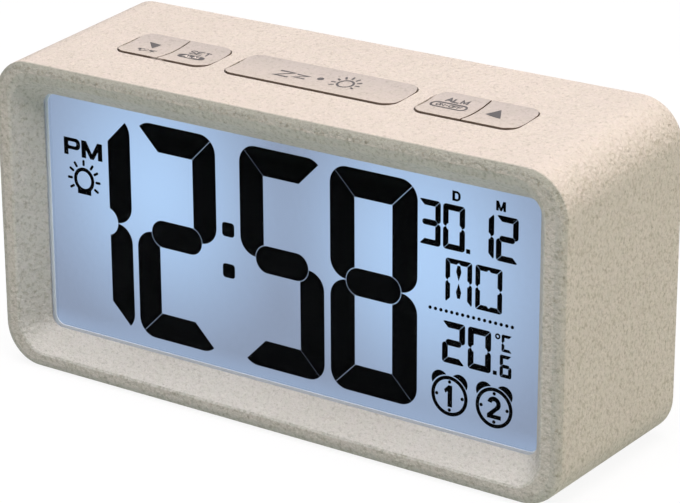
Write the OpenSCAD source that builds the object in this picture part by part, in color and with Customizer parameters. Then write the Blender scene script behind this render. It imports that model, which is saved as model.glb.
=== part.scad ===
// Digital alarm clock with a lit segment display and five keys on top.
// Millimetres. X runs along the width, the display faces -Y, Z is up and the clock stands on Z = 0.

/* [Case] */
// Width of the case
case_w = 140; // [134:1:180]
// Height of the case at the front
case_h = 68.4; // [66:0.1:90]
// Depth of the case, front to back
case_d = 45.5; // [44:0.5:70]
// Rise of the top for each millimetre along it towards the back
top_rise = 0.07584; // [0.035:0.00001:0.1]
// Distance in front of the case of the line that the sloped top is turned about
bend_r = 19.75; // [10:0.25:40]
// Radius of the long corners, seen from the front
case_r = 9; // [7:0.5:12]
// Rounding of the front edge
front_round = 2; // [1.5:0.1:3.1]
// Bevel of the back edge
back_bevel = 0.8; // [0.4:0.1:1.2]
// Thickness of the case wall
wall = 2; // [1.6:0.1:2.4]

/* [Bezel] */
// Width of the bezel at the sides, from the side of the case to the display opening
bezel_w = 8.6; // [8.4:0.1:9.4]
// Width of the bezel above and below the display opening
bezel_h = 7.8; // [7.7:0.1:9]
// Depth of the window behind the front of the bezel
recess = 6.3; // [5:0.1:7]
// Corner radius of the display opening
opening_r = 2.6; // [2:0.1:4]
// Width of the steep part of the bezel slope
slope_w = 4.1; // [3.3:0.1:4.2]
// Width of the shallow part of the bezel slope, next to the front edge
lead_w = 0.5; // [0.3:0.1:0.6]
// Depth of the shallow part of the bezel slope
lead_depth = 0.2; // [0.15:0.05:0.3]
// Depth of the plain edge between the slope and the window
edge_depth = 0.3; // [0.2:0.1:1]

/* [Display] */
// Thickness of the clear window
window_t = 0.8; // [0.6:0.1:1.4]
// Overlap of the window behind the bezel, on each side
window_lap = 1.6; // [1.3:0.1:1.7]
// Thickness of the gasket between window and glass
gasket_t = 0.2; // [0.15:0.05:0.5]
// Width of the gasket that shows inside the bezel
gasket_edge = 0.3; // [0.2:0.1:1]
// Corner radius of the part of the display that shows
view_r = 2.3; // [1:0.1:3.5]
// Thickness of one polariser
polariser_t = 0.2; // [0.1:0.05:0.3]
// Thickness of one sheet of glass
glass_t = 0.5; // [0.4:0.1:0.9]
// Thickness of the liquid-crystal layer between the two sheets
crystal_t = 0.1; // [0.05:0.01:0.2]
// Width of the seal between the two sheets
seal_w = 0.8; // [0.5:0.1:0.9]
// Height of the ledge of the front glass that carries the contacts
ledge_h = 2.8; // [2.6:0.1:3.2]
// Thickness of the diffuser film
diffuser_t = 0.2; // [0.1:0.05:0.4]
// Thickness of the light guide
guide_t = 3; // [2:0.1:4]
// Thickness of the reflector sheet
reflector_t = 0.2; // [0.1:0.05:0.4]
// Thickness of the walls of the display frame
frame_t = 1; // [0.8:0.1:1.1]

/* [Time digits] */
// Width of a large digit
digit_w = 20.9; // [16:0.1:22]
// Width of the strokes of a large digit
digit_stroke = 5.9; // [3:0.1:6.5]
// Outer corner radius of a large digit
digit_r = 4; // [1:0.1:5]
// Space between a large digit and the edge of the view
digit_margin = 2.1; // [1.4:0.1:4]
// Thin joint between two lit segments of a large digit
digit_joint = 0.16; // [0.1:0.01:0.4]
// Size of one dot of the colon
colon_size = 3.05; // [2:0.05:3.4]

/* [Small digits] */
// Width of a date digit
date_w = 5; // [3.5:0.1:5.2]
// Height of a date digit
date_h = 9.3; // [7:0.1:9.6]
// Width of the strokes of a date digit
date_stroke = 1.2; // [0.8:0.05:1.4]
// Width of a weekday letter
day_w = 6.1; // [4.5:0.1:6.4]
// Height of a weekday letter
day_h = 9.2; // [7:0.1:9.6]
// Width of the strokes of a weekday letter
day_stroke = 1.05; // [0.7:0.05:1.2]
// Width of a temperature digit
temp_w = 5.3; // [3.5:0.1:5.5]
// Height of a temperature digit
temp_h = 8.8; // [7:0.1:9]
// Width of the strokes of a temperature digit
temp_stroke = 1.3; // [0.8:0.05:1.5]
// Gap between the segments of the date and temperature digits
small_joint = 0.1; // [0.06:0.01:0.2]
// Gap between the segments of the weekday letters
day_joint = 0.16; // [0.1:0.01:0.25]
// Outer radius of the ring of an alarm sign
alarm_r = 4.25; // [3:0.05:4.4]
// Outer radius of the ring of the lamp sign
lamp_r = 2.75; // [2:0.05:2.9]

/* [Keys] */
// Depth of the keys, front to back
key_d = 11.6; // [10:0.2:14]
// Corner radius of the key groups
key_r = 2.8; // [1:0.1:4]
// Width of a pair of keys
pair_w = 23.6; // [20:0.2:24.4]
// Distance of the middle of a pair from the middle of the case
pair_x = 37.4; // [37.2:0.1:39]
// Width of the snooze key
snooze_w = 42; // [30:0.2:42.6]
// Distance from the front of the case to the middle of the keys
key_front = 21.45; // [21.25:0.05:23.25]
// Gap between a key and its opening
key_gap = 0.3; // [0.2:0.05:0.4]
// Gap between the two keys of a pair
split_gap = 0.4; // [0.3:0.05:0.6]
// Height of the keys above the case
key_proud = 0.35; // [0.2:0.05:1.5]
// Depth of the finger dish in the keys
key_dish = 0.45; // [0.2:0.05:0.6]
// Width of the flange under the case that keeps a key in
flange_w = 1; // [0.7:0.1:1.2]
// Thickness of the key flange
flange_t = 1; // [0.8:0.1:1.4]
// Gap between the key flange and the case
flange_gap = 0.2; // [0.1:0.05:0.3]
// Travel of a key
key_travel = 0.6; // [0.3:0.05:0.7]

/* [Switches] */
// Side of a switch body
switch_w = 6; // [5:0.1:7]
// Height of a switch body
switch_h = 3.5; // [3:0.1:4]
// Diameter of a switch plunger
plunger_d = 3.4; // [2.5:0.1:3.8]
// Height of a plunger above the body of its switch
plunger_h = 1; // [0.9:0.05:1.4]
// Depth of a plunger inside the body of its switch
plunger_in = 1.4; // [1:0.1:1.6]
// Length of the stem under a key
stem_h = 1.35; // [1:0.05:2.5]
// Diameter of the stem under a key
stem_d = 5; // [3.6:0.1:6]

/* [Boards] */
// Thickness of the main board
board_t = 1.6; // [1:0.1:2]
// Thickness of the key board
key_board_t = 1.2; // [0.8:0.1:1.6]
// Radius of the resin blob over the chip
blob_r = 7; // [5:0.5:9]
// Height of the resin blob
blob_h = 2.2; // [1.5:0.1:3]
// Height of the temperature sensor above the main board
sensor_h = 20; // [10:0.5:22]
// Width of the ribbon cable
ribbon_w = 8; // [5:0.5:12]
// Thickness of the ribbon cable
ribbon_t = 0.6; // [0.4:0.1:0.9]

/* [Rear cover] */
// Thickness of the rear cover
cover_t = 2.2; // [2:0.1:3]
// Depth of the rear cover inside the back edge
cover_inset = 1.2; // [0.9:0.1:1.6]
// Gap round the rear cover
cover_gap = 0.2; // [0.1:0.05:0.4]
// Thickness of the walls of the battery well
well_wall = 1.5; // [1.2:0.1:2]
// Width of the ledge that the battery door closes on
well_ledge = 2; // [1.6:0.1:3]
// Height of the middle of the battery well below the middle of the case
well_drop = 3; // [0:0.5:4]
// Gap round the battery door
door_gap = 0.3; // [0.2:0.05:0.4]
// Gap between the battery door and its ledge
door_seat = 0.2; // [0.15:0.05:0.4]
// Diameter of the hinge pins of the battery door
pin_d = 1.2; // [1:0.05:1.4]
// Length of the hinge pins of the battery door
pin_l = 1.6; // [1:0.1:2.2]

/* [Cells] */
// Diameter of a cell
cell_d = 14.2; // [13.8:0.1:14.5]
// Length of a cell over its button
cell_l = 50.3; // [49.5:0.1:50.5]
// Diameter of the button of a cell
button_d = 5.4; // [4.2:0.1:5.5]
// Height of the button of a cell
button_h = 1.3; // [1:0.1:1.6]
// Space between the cells, and between a cell and its well
cell_gap = 0.5; // [0.3:0.1:1]
// Thickness of the contact strips
strip_t = 0.4; // [0.3:0.05:0.6]
// Width of the contact strips
strip_w = 8; // [6:0.5:10]
// Height that a leaf spring stands off its strip
leaf_h = 4.5; // [3:0.1:6]

/* [Buzzer] */
// Diameter of the buzzer
buzzer_d = 18; // [14:0.5:20]
// Height of the buzzer
buzzer_h = 5; // [4:0.5:8]
// Distance from the right side of the case to the middle of the buzzer
buzzer_side = 23; // [22:0.5:24]
// Diameter of one sound hole
sound_d = 1.8; // [1.2:0.1:2.4]

/* [Fasteners] */
// Diameter of the screw shanks
screw_d = 1.9; // [1.6:0.1:2]
// Diameter of the screw heads
head_d = 3.4; // [3:0.1:3.5]
// Height of the screw heads
head_h = 1.2; // [1:0.1:1.4]
// Length of a screw in its boss
screw_l = 6; // [4:0.5:8]
// Radius of the screw bosses
boss_r = 2.2; // [2:0.1:2.3]
// Height of the cover screws above and below the middle of the case
cover_screw_z = 22; // [18:0.5:23]
// Height of the board screws above and below the middle of the case
board_screw_z = 9; // [6:0.5:12]

/* [Hidden] */
$fn = 48;
over = 0.5;
clear = 0.05;
frame_gap = 0.15;
boss_gap = 0.25;
back_over = 3;
lead_over = 1;
seat_step = 0.4;
// How much narrower the inside is under the sloped top, on each side
top_step = 0.2;
seat_depth = recess + 2.5;

// Sloped top
row_y = case_h / 2 - case_r;
top_slope = asin(top_rise);
mitre = tan(top_slope / 2);
mitre_l = 79;
bend_y = row_y - 2 * bend_r * mitre;

// Display sizes
opening_w = case_w - 2 * bezel_w;
opening_h = case_h - 2 * bezel_h;
window_w = opening_w + 2 * window_lap;
window_h = opening_h + 2 * window_lap;
view_w = opening_w - 2 * gasket_edge;
view_h = opening_h - 2 * gasket_edge;
glass_w = view_w + 2 * seal_w;
glass_h = view_h + 2 * seal_w;
film_edge = 0.15;
frame_w = glass_w + 2 * frame_gap + 2 * frame_t;
frame_top = glass_h / 2 + frame_gap + frame_t;
frame_low = glass_h / 2 + ledge_h + frame_gap + frame_t;
frame_h = frame_top + frame_low;
frame_mid = (frame_top - frame_low) / 2;

// Depths of the display layers behind the front of the bezel
window_depth = recess;
gasket_depth = window_depth + window_t;
front_film_depth = gasket_depth + gasket_t;
front_glass_depth = front_film_depth + polariser_t;
crystal_depth = front_glass_depth + glass_t;
rear_glass_depth = crystal_depth + crystal_t;
rear_film_depth = rear_glass_depth + glass_t;
diffuser_depth = rear_film_depth + polariser_t;
guide_depth = diffuser_depth + diffuser_t;
reflector_depth = guide_depth + guide_t;
board_depth = reflector_depth + reflector_t;
board_back = board_depth + board_t;
board_back_y = -case_d / 2 + board_back;

// Can of the quartz crystal and its gap to the battery well
can_d = 3.1;
can_h = 8.2;
can_gap = 1.5;

// Backlight lamps
lamp_size = [1.2, 3, 2.4];
lamp_gap = 0.15;
lamp_y = [-13, 13];

// Bosses
boss_x = frame_w / 2 + boss_gap + boss_r;
hole_d = screw_d + 2 * clear;
pass_d = screw_d + 0.4;
sink_d = head_d + 0.4;
sink_h = head_h + 0.2;
inner_x = case_w / 2 - wall;
ear_x = inner_x - 0.4;

// Keys
key_y = key_front - case_d / 2;
key_top = case_h + key_proud;
flange_top = case_h - wall - flange_gap;
flange_low = flange_top - flange_t;
stem_low = flange_low - stem_h;
switch_top = stem_low - plunger_h;
key_board_top = switch_top - switch_h;
key_w = (pair_w - split_gap) / 2;
key_off = (key_w + split_gap) / 2;
dish_rim = 0.5;
dish_w = key_d - 2 * dish_rim;
dish_r = (dish_w * dish_w / 4 + key_dish * key_dish) / (2 * key_dish);
switch_x = [-pair_x - key_off, -pair_x + key_off, 0, pair_x - key_off, pair_x + key_off];
post_r = 2;
post_end_x = pair_x + pair_w / 2 + flange_w + post_r + 0.8;
post_mid_x = (snooze_w / 2 + pair_x - pair_w / 2) / 2;
post_back_y = key_y + key_d / 2 + flange_w + post_r + 0.8;
key_posts = [[-post_end_x, key_y], [post_end_x, key_y],
    [-post_mid_x, post_back_y], [post_mid_x, post_back_y]];
key_board_front = key_y - key_d / 2 - flange_w + 0.3;
key_board_back = post_back_y + post_r + 0.6;
key_board_w = 2 * (post_end_x + post_r + 0.6);

// Rear cover, measured forward from the back face
cover_in = cover_inset + cover_t;
cover_top = bend_y + (case_r - wall) / cos(top_slope)
    + (case_d + bend_r - cover_in) * tan(top_slope) - cover_gap;
cover_low = case_h / 2 - wall - cover_gap;
cover_h = cover_top + cover_low;
cover_mid = (cover_top - cover_low) / 2;
cell_pitch = cell_d + cell_gap;
well_l = cell_l + leaf_h + 2 * strip_t;
well_h = 2 * cell_pitch + cell_gap;
well_y = -well_drop;
door_w = well_l + 2 * well_ledge;
door_h = well_h + 2 * well_ledge;
door_r = 1.5;
ledge_z = cover_in + door_seat;
ledge_t = 1.5;
cell_z = ledge_z + cell_gap + cell_d / 2;
well_floor = cell_z + cell_d / 2 + cell_gap;
axis_y = well_y - door_h / 2 + cover_t / 2;
axis_z = cover_inset + cover_t / 2;
tab_z = cell_z;
tab_w = 2.4;
tab_out = well_l / 2 + well_wall + 1.6;
lead_d = 1.2;
lead_run = 3;
buzzer_x = case_w / 2 - buzzer_side;
buzzer_wall = 1.2;
buzzer_ring_h = 3;
vent_l = 12;
vent_w = 1.4;
vent_step = 3;

// Lit segments of each digit: top, upper right, lower right, bottom, lower left, upper left, middle
SEGMENTS = [
    [1, 1, 1, 1, 1, 1, 0],
    [0, 1, 1, 0, 0, 0, 0],
    [1, 1, 0, 1, 1, 0, 1],
    [1, 1, 1, 1, 0, 0, 1],
    [0, 1, 1, 0, 0, 1, 1],
    [1, 0, 1, 1, 0, 1, 1],
    [1, 0, 1, 1, 1, 1, 1],
    [1, 1, 1, 0, 0, 0, 0],
    [1, 1, 1, 1, 1, 1, 1],
    [1, 1, 1, 1, 0, 1, 1]
];
LETTER_C = [1, 0, 0, 1, 1, 1, 0];
LETTER_M = [1, 1, 1, 0, 1, 1, 0];
// The signs are laid out for a lit area of this size, and drawn larger or smaller with the real one
face_w = 122.2;
face_h = 51.8;
face_scale = min(view_w / face_w, view_h / face_h);
digit_h = face_h - 2 * digit_margin;

// Places shapes drawn in the plane of the display: x to the right, y up from the middle, z to the front
module facing() {
    translate([0, case_d / 2, case_h / 2])
        rotate([90, 0, 0])
            children();
}

// A flat layer of the display at a depth behind the front of the bezel
module layer(depth, thick) {
    facing()
        translate([0, 0, case_d - depth - thick])
            linear_extrude(thick)
                children();
}

module rounded_rect(w, h, r) {
    square([w - 2 * r, h], center = true);
    square([w, h - 2 * r], center = true);
    for (sx = [-1, 1], sy = [-1, 1])
        translate([sx * (w / 2 - r), sy * (h / 2 - r)])
            circle(r);
}

// A bar with two rounded corners along the top of a block, whose rim follows a profile of radius and height
module swept_row(w, h, r) {
    translate([w / 2 - r, h / 2 - r, 0])
        rotate_extrude(angle = 90)
            children();
    translate([r - w / 2, h / 2 - r, 0])
        rotate([0, 0, 90])
            rotate_extrude(angle = 90)
                children();
    rotate([0, 0, 90])
        translate([h / 2 - r, w / 2 - r, 0])
            rotate([90, 0, 0])
                linear_extrude(w - 2 * r)
                    children();
}

// The middle of a block between its two rounded rows
module swept_middle(w, low, high, r, z0, z1) {
    for (side = [0, 1])
        mirror([side, 0, 0])
            translate([w / 2 - r, high, 0])
                rotate([90, 0, 0])
                    linear_extrude(high - low)
                        children();
    translate([r - w / 2, low, z0])
        cube([w - 2 * r, high - low, z1 - z0]);
}

// A block with rounded long corners whose rim follows a profile of radius and height
module swept_block(w, h, r, z0, z1) {
    swept_row(w, h, r)
        children();
    rotate([0, 0, 180])
        swept_row(w, h, r)
            children();
    swept_middle(w, r - h / 2, h / 2 - r, r, z0, z1)
        children();
}

// Places the keys and what carries them: drawn for a level top, then turned with the sloped top
module on_top() {
    translate([0, -case_d / 2 - bend_r, case_h / 2 + bend_y])
        rotate([top_slope, 0, 0])
            translate([0, case_d / 2 + bend_r, -case_h / 2 - row_y])
                children();
}

// A wide block that ends at the mitre between the straight part of the case and its tilted part,
// side -1 for what lies below the mitre and 1 for what lies above it. It runs from the line that the
// top turns about to well behind the case
module mitre_block(side) {
    front = case_d + bend_r;
    translate([-case_w, 0, 0])
        rotate([90, 0, 90])
            linear_extrude(2 * case_w)
                polygon([
                    [bend_y + side * case_h, front - mitre_l],
                    [bend_y - side * mitre_l * mitre, front - mitre_l],
                    [bend_y, front],
                    [bend_y + side * case_h, front]
                ]);
}

// The outer block of the case: straight below, and an upper row that is turned about a line in front
// of the case, so that the top rises to the back
module case_block() {
    reach = (case_d + bend_r + 2 * over) * mitre;
    rotate([0, 0, 180])
        swept_row(case_w, case_h, case_r)
            case_profile();
    intersection() {
        swept_middle(case_w, -row_y, bend_y + reach, case_r, 0, case_d)
            case_profile();
        mitre_block(-1);
    }
    tilted_with_top() {
        swept_row(case_w, 2 * (bend_y + case_r), case_r)
            case_profile();
        intersection() {
            swept_middle(case_w, bend_y - reach, bend_y, case_r, 0, case_d)
                case_profile();
            mitre_block(1);
        }
    }
}

// Turns what is drawn in line with the straight part of the case to where the sloped top has it
module tilted_with_top() {
    translate([0, bend_y, case_d + bend_r])
        rotate([top_slope, 0, 0])
            translate([0, -bend_y, -case_d - bend_r])
                children();
}

// A rectangle with its two lower corners rounded
module tray_outline(w, low, high, r) {
    translate([-w / 2, low + r])
        square([w, high - low - r]);
    translate([r - w / 2, low])
        square([w - 2 * r, r + over]);
    for (side = [-1, 1])
        translate([side * (w / 2 - r), low + r])
            circle(r);
}

// The inside of the case, one wall in from the outer faces. Its straight part ends inside the tilted
// part, which has a small step on each side
module case_inside() {
    w = case_w - 2 * wall;
    r = case_r - wall;
    deep = case_d - seat_depth + back_over;
    meet = bend_y + (seat_depth + bend_r) * mitre;
    dip = (case_d + bend_r + back_over) * sin(top_slope) + r;
    translate([0, 0, -back_over])
        linear_extrude(deep)
            tray_outline(w, wall - case_h / 2, meet + over, r);
    tilted_with_top()
        translate([0, 0, -back_over])
            linear_extrude(deep)
                mirror([0, 1, 0])
                    tray_outline(w - 2 * top_step, -bend_y - r, dip - bend_y, r);
}

module case_profile() {
    difference() {
        square([case_r, case_d]);
        translate([case_r - front_round, case_d - front_round])
            difference() {
                square(front_round + over);
                circle(front_round);
            }
        translate([case_r, 0])
            rotate([0, 0, 45])
                square(back_bevel * sqrt(2), center = true);
    }
}

module bezel_profile() {
    polygon([
        [0, case_d - recess - over],
        [opening_r, case_d - recess - over],
        [opening_r, case_d - recess + edge_depth],
        [opening_r + slope_w, case_d - lead_depth],
        [opening_r + slope_w + lead_w + lead_over * lead_w / lead_depth, case_d + lead_over],
        [0, case_d + lead_over]
    ]);
}

// Case

module case_shell() {
    color("tan")
    difference() {
        union() {
            facing()
                difference() {
                    case_block();
                    case_inside();
                    translate([0, 0, case_d - seat_depth - over])
                        linear_extrude(seat_depth + over - recess)
                            rounded_rect(case_w - 2 * wall - 2 * seat_step, case_h - 2 * wall - 2 * seat_step,
                                case_r - wall - seat_step);
                }
            case_bosses();
            on_top()
                key_post_set();
        }
        facing()
            swept_block(opening_w, opening_h, opening_r, case_d - recess - over, case_d + lead_over)
                bezel_profile();
        on_top()
            key_openings();
        boss_holes();
    }
}

module case_bosses() {
    facing()
        for (sx = [-1, 1], sy = [-1, 1]) {
            translate([sx * boss_x, sy * cover_screw_z, cover_in])
                boss_with_rib(sx, case_d - recess - cover_in + over);
            translate([sx * boss_x, sy * board_screw_z, case_d - board_depth])
                boss_with_rib(sx, board_depth - recess + over);
        }
}

module boss_with_rib(side, length) {
    cylinder(r = boss_r, h = length);
    translate([side > 0 ? 0 : -(inner_x - boss_x + over), -0.8, 0])
        cube([inner_x - boss_x + over, 1.6, length]);
}

module boss_holes() {
    facing()
        for (sx = [-1, 1], sy = [-1, 1]) {
            translate([sx * boss_x, sy * cover_screw_z, cover_in - over])
                cylinder(d = hole_d, h = screw_l + 1 + over);
            translate([sx * boss_x, sy * board_screw_z, case_d - board_depth - over])
                cylinder(d = hole_d, h = board_depth - recess + over);
        }
}

module key_post_set() {
    for (p = key_posts)
        translate([p[0], p[1], key_board_top])
            difference() {
                cylinder(r = post_r, h = case_h - wall + over - key_board_top);
                translate([0, 0, -over])
                    cylinder(d = hole_d, h = case_h - wall - 0.6 + over - key_board_top);
            }
}

module key_openings() {
    translate([0, key_y, case_h - wall - over])
        linear_extrude(wall + 2 * over) {
            rounded_rect(snooze_w + 2 * key_gap, key_d + 2 * key_gap, key_r + key_gap);
            for (sx = [-1, 1])
                translate([sx * pair_x, 0])
                    rounded_rect(pair_w + 2 * key_gap, key_d + 2 * key_gap, key_r + key_gap);
        }
}

// Rear cover and battery door

module rear_cover() {
    color("tan")
    facing()
    difference() {
        union() {
            translate([0, 0, cover_inset])
                linear_extrude(cover_t)
                    translate([0, cover_mid])
                        rounded_rect(case_w - 2 * wall - 2 * cover_gap, cover_h, case_r - wall - cover_gap);
            well_body();
            translate([buzzer_x, 0, cover_in])
                difference() {
                    cylinder(d = buzzer_d + 0.4 + 2 * buzzer_wall, h = buzzer_ring_h);
                    cylinder(d = buzzer_d + 0.4, h = buzzer_ring_h + over);
                }
        }
        translate([0, well_y, ledge_z])
            well_space();
        translate([0, well_y, cover_inset - over])
            linear_extrude(cover_t + door_seat + over) {
                rounded_rect(door_w + 2 * door_gap, door_h + 2 * door_gap, door_r + door_gap);
                translate([-door_w / 2 - door_gap, -door_h / 2 - door_gap])
                    square([door_w + 2 * door_gap, door_h / 2]);
            }
        translate([0, axis_y, axis_z])
            rotate([0, 90, 0])
                cylinder(d = pin_d + 2 * clear, h = door_w + 2 * door_gap + 2 * pin_l, center = true);
        finger_notch();
        for (sx = [-1, 1], sy = [-1, 1])
            translate([sx * boss_x, sy * cover_screw_z, cover_inset - over]) {
                cylinder(d = pass_d, h = cover_t + 2 * over);
                cylinder(d = sink_d, h = sink_h + over);
            }
        sound_holes();
        vents();
        for (sy = [-1, 1])
            translate([-tab_out, well_y + sy * cell_pitch / 2 - tab_w / 2 - clear,
                tab_z - strip_t / 2 - clear])
                cube([tab_out - well_l / 2 + over, tab_w + 2 * clear, strip_t + 2 * clear]);
    }
}

module well_body() {
    translate([0, well_y, cover_in - over])
        linear_extrude(door_seat + ledge_t + over)
            square([door_w + 2 * door_gap + 3, door_h + 2 * door_gap + 3], center = true);
    translate([0, well_y, cover_in])
        linear_extrude(well_floor + well_wall - cover_in)
            square([well_l + 2 * well_wall, well_h + 2 * well_wall], center = true);
}

module well_space() {
    translate([0, 0, -over])
        linear_extrude(well_floor - ledge_z + over)
            square([well_l, well_h], center = true);
}

module finger_notch() {
    translate([0, well_y + door_h / 2 + door_gap, cover_inset - over])
        cylinder(r = 5, h = over + 1.2);
}

module sound_holes() {
    translate([buzzer_x, 0, cover_inset - over]) {
        cylinder(d = sound_d, h = cover_t + 2 * over);
        for (a = [0:60:300])
            rotate([0, 0, a])
                translate([4.2, 0, 0])
                    cylinder(d = sound_d, h = cover_t + 2 * over);
    }
}

module vents() {
    for (i = [-2:2])
        translate([-buzzer_x, i * vent_step, cover_inset - over])
            linear_extrude(cover_t + 2 * over)
                rounded_rect(vent_l, vent_w, vent_w / 2 - 0.01);
}

module battery_door() {
    color("tan")
    facing() {
        difference() {
            union() {
                translate([0, well_y + cover_t / 4, cover_inset])
                    linear_extrude(cover_t)
                        square([door_w, door_h - cover_t / 2], center = true);
                translate([0, axis_y, axis_z])
                    rotate([0, 90, 0])
                        cylinder(d = cover_t, h = door_w, center = true);
            }
            for (sx = [-1, 1])
                translate([sx * door_w / 2, well_y + door_h / 2, cover_inset - over])
                    rotate([0, 0, sx > 0 ? 180 : 270])
                        difference() {
                            translate([-over, -over, 0])
                                cube([door_r + over, door_r + over, cover_t + 2 * over]);
                            translate([door_r, door_r, -over])
                                cylinder(r = door_r, h = cover_t + 4 * over);
                        }
            translate([0, well_y + door_h / 2 - 4, cover_inset - over])
                for (i = [0:2])
                    translate([0, -2 * i, 0])
                        cube([14, 0.8, 2 * over + 0.4], center = true);
        }
        for (sx = [-1, 1])
            translate([sx * (door_w / 2 + (pin_l + door_gap) / 2 - over / 2), axis_y, axis_z])
                rotate([0, 90, 0])
                    cylinder(d = pin_d, h = pin_l + door_gap + over - 0.2, center = true);
    }
}

// Display

module display_window() {
    color("lightcyan")
        layer(window_depth, window_t)
            rounded_rect(window_w, window_h, opening_r);
}

module display_gasket() {
    color("white")
        layer(gasket_depth, gasket_t)
            difference() {
                square([glass_w, glass_h], center = true);
                rounded_rect(view_w, view_h, view_r);
            }
}

module front_polariser() {
    color("lightsteelblue")
        layer(front_film_depth, polariser_t)
            square([glass_w - 2 * film_edge, glass_h - 2 * film_edge], center = true);
}

module front_glass() {
    color("lightblue")
        layer(front_glass_depth, glass_t)
            translate([0, -ledge_h / 2])
                square([glass_w, glass_h + ledge_h], center = true);
}

module cell_seal() {
    color("gray")
        layer(crystal_depth, crystal_t)
            difference() {
                square([glass_w, glass_h], center = true);
                square([view_w, view_h], center = true);
            }
}

module rear_glass() {
    color("lightblue")
        layer(rear_glass_depth, glass_t)
            square([glass_w, glass_h], center = true);
}

module rear_polariser() {
    color("lightsteelblue")
        layer(rear_film_depth, polariser_t)
            square([glass_w - 2 * film_edge, glass_h - 2 * film_edge], center = true);
}

module diffuser_film() {
    color("white")
        layer(diffuser_depth, diffuser_t)
            square([glass_w - 2 * film_edge, glass_h - 2 * film_edge], center = true);
}

module light_guide() {
    color("aliceblue")
        layer(guide_depth, guide_t)
            difference() {
                square([glass_w, glass_h], center = true);
                for (sx = [-1, 1], y = lamp_y)
                    translate([sx * (glass_w / 2 - lamp_size[0] / 2), y])
                        square([lamp_size[0] + 2 * lamp_gap, lamp_size[1] + 2 * lamp_gap], center = true);
            }
}

module reflector_sheet() {
    color("white")
        layer(reflector_depth, reflector_t)
            difference() {
                square([glass_w, glass_h], center = true);
                for (sx = [-1, 1], y = lamp_y)
                    translate([sx * (glass_w / 2 - lamp_size[0] / 2), y])
                        square([lamp_size[0] + 2 * lamp_gap, lamp_size[1] + 2 * lamp_gap], center = true);
            }
}

module backlight_lamps() {
    color("ivory")
        layer(board_depth - lamp_size[2], lamp_size[2])
            for (sx = [-1, 1], y = lamp_y)
                translate([sx * (glass_w / 2 - lamp_size[0] / 2), y])
                    square([lamp_size[0], lamp_size[1]], center = true);
}

module display_frame() {
    color("whitesmoke")
        layer(gasket_depth, board_depth - gasket_depth)
            translate([0, frame_mid])
                difference() {
                    square([frame_w, frame_h], center = true);
                    square([frame_w - 2 * frame_t, frame_h - 2 * frame_t], center = true);
                }
}

module contact_strip() {
    color("dimgray")
        layer(rear_glass_depth - crystal_t, board_depth - rear_glass_depth + crystal_t)
            translate([0, -glass_h / 2 - ledge_h / 2 - 0.1])
                square([glass_w - 6, 1.6], center = true);
}

// Dark segments of the liquid-crystal layer

module segment_layer() {
    color("black")
        layer(crystal_depth, crystal_t)
            scale(face_scale)
                children();
}

// One half of the outline of a digit, with the space for its middle bar taken out
module half_ring(w, h, stroke, r, joint) {
    difference() {
        translate([0, h / 4 + joint / 4])
            rounded_rect(w, h / 2 - joint / 2, r);
        square([w - 2 * stroke, h - 2 * stroke], center = true);
        rounded_rect(middle_w(w, stroke) + 2 * joint, stroke + 2 * joint, stroke / 2 + joint - 0.01);
    }
}

function middle_w(w, stroke) = w - 1.32 * stroke;

// A seven-segment digit that shows the segments marked in a list
module digit(lit, w, h, stroke, r, joint) {
    x = w / 2 - stroke;
    y = h / 2 - stroke;
    far = stroke + 1;
    for (half = [0, 1])
        mirror([0, half]) {
            if (lit[half == 0 ? 0 : 3] == 1)
                intersection() {
                    half_ring(w, h, stroke, r, joint);
                    polygon([[joint - x, y], [x - joint, y], [x + far - joint, y + far],
                        [joint - x - far, y + far]]);
                }
            for (side = [0, 1])
                mirror([side, 0])
                    if (lit[half == 0 ? (side == 0 ? 1 : 5) : (side == 0 ? 2 : 4)] == 1)
                        intersection() {
                            half_ring(w, h, stroke, r, joint);
                            polygon([[x, 0], [x, y], [x + far, y + far], [x + far, 0]]);
                        }
        }
    if (lit[6] == 1)
        rounded_rect(middle_w(w, stroke), stroke, stroke / 2 - 0.01);
}

module time_segments() {
    segment_layer() {
        translate([-50.3, 0])
            digit(SEGMENTS[1], digit_w, digit_h, digit_stroke, digit_r, digit_joint);
        translate([-27.9, 0])
            digit(SEGMENTS[2], digit_w, digit_h, digit_stroke, digit_r, digit_joint);
        translate([-0.8, 0])
            digit(SEGMENTS[5], digit_w, digit_h, digit_stroke, digit_r, digit_joint);
        translate([21.7, 0])
            digit(SEGMENTS[8], digit_w, digit_h, digit_stroke, digit_r, digit_joint);
        for (sy = [-1, 1])
            translate([-14.4, sy * 4.5])
                rounded_rect(colon_size, colon_size, 0.7);
    }
}

module date_segments() {
    segment_layer() {
        date_digit(35, 3);
        date_digit(40.6, 0);
        translate([43.9, 16.1 - date_h / 2 + 0.45])
            square(0.9, center = true);
        date_digit(47.2, 1);
        date_digit(52.7, 2);
        translate([41.1, 22.65])
            letter_d(1.85, 2.05, 0.58);
        translate([51.2, 22.6])
            letter_m(2.15, 1.95, 0.52);
        translate([41.8, 5.1])
            weekday_m();
        translate([48.7, 5.1])
            weekday_letter(SEGMENTS[0]);
    }
}

module date_digit(x, value) {
    translate([x, 16.1])
        digit(SEGMENTS[value], date_w, date_h, date_stroke, 0.7, small_joint);
}

// A letter of the weekday, with a notch in the middle of its upper and lower bar
module weekday_letter(lit) {
    inner = day_h / 2 - day_stroke;
    difference() {
        digit(lit, day_w, day_h, day_stroke, 0.6, day_joint);
        for (half = [0, 1])
            mirror([0, half])
                polygon([[-0.55, inner - 0.05], [0.55, inner - 0.05], [0, inner + 0.45]]);
    }
}

module weekday_m() {
    inner = day_h / 2 - day_stroke;
    weekday_letter(LETTER_M);
    for (half = [0, 1])
        mirror([0, half])
            polygon([[0, 0.3], [0.58, 2.1], [0.3, inner - 0.15], [-0.3, inner - 0.15], [-0.58, 2.1]]);
}

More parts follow.
